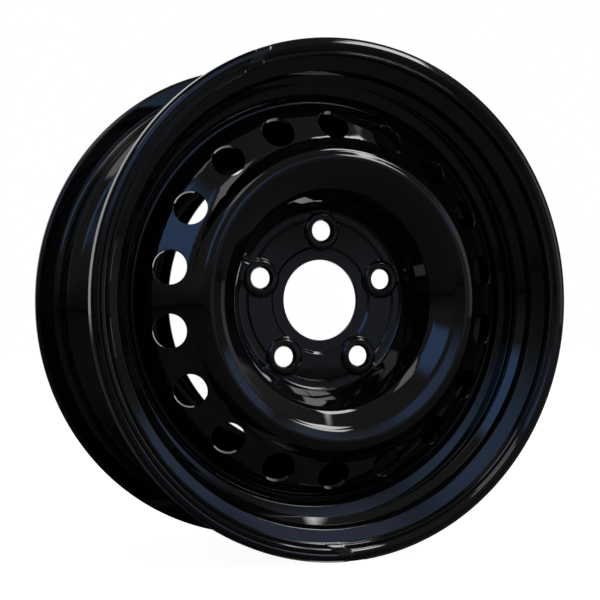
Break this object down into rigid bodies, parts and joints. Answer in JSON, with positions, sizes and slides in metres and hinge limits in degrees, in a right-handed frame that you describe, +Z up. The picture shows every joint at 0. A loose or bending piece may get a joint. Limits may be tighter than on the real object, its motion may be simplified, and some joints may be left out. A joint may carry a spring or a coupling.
{
  "type": "steel wheel rim",
  "caption": "Pressed steel road wheel: rolled rim hoop with a deep drop well, ventilated dished disc with raised stud seats, joined by a weld, in gloss black paint.",
  "frame": {"origin": "centre of the wheel: on the spin axis, half way across the overall width", "axes": "Y along the spin axis, +Y inboard towards the vehicle, -Y the outer face; +Z up, with one stud hole at the top; +X to the right as seen from outside"},
  "size_m": [0.417, 0.1694, 0.417],
  "materials": {
    "rim_paint": "high gloss black paint on rolled steel",
    "disc_paint": "high gloss black paint on pressed steel",
    "weld_paint": "gloss black paint over a weld bead"
  },
  "bodies": {
    "root": {"rim": "rim_paint", "disc": "disc_paint", "weld_bead": "weld_paint"}
  },
  "joints": []
}
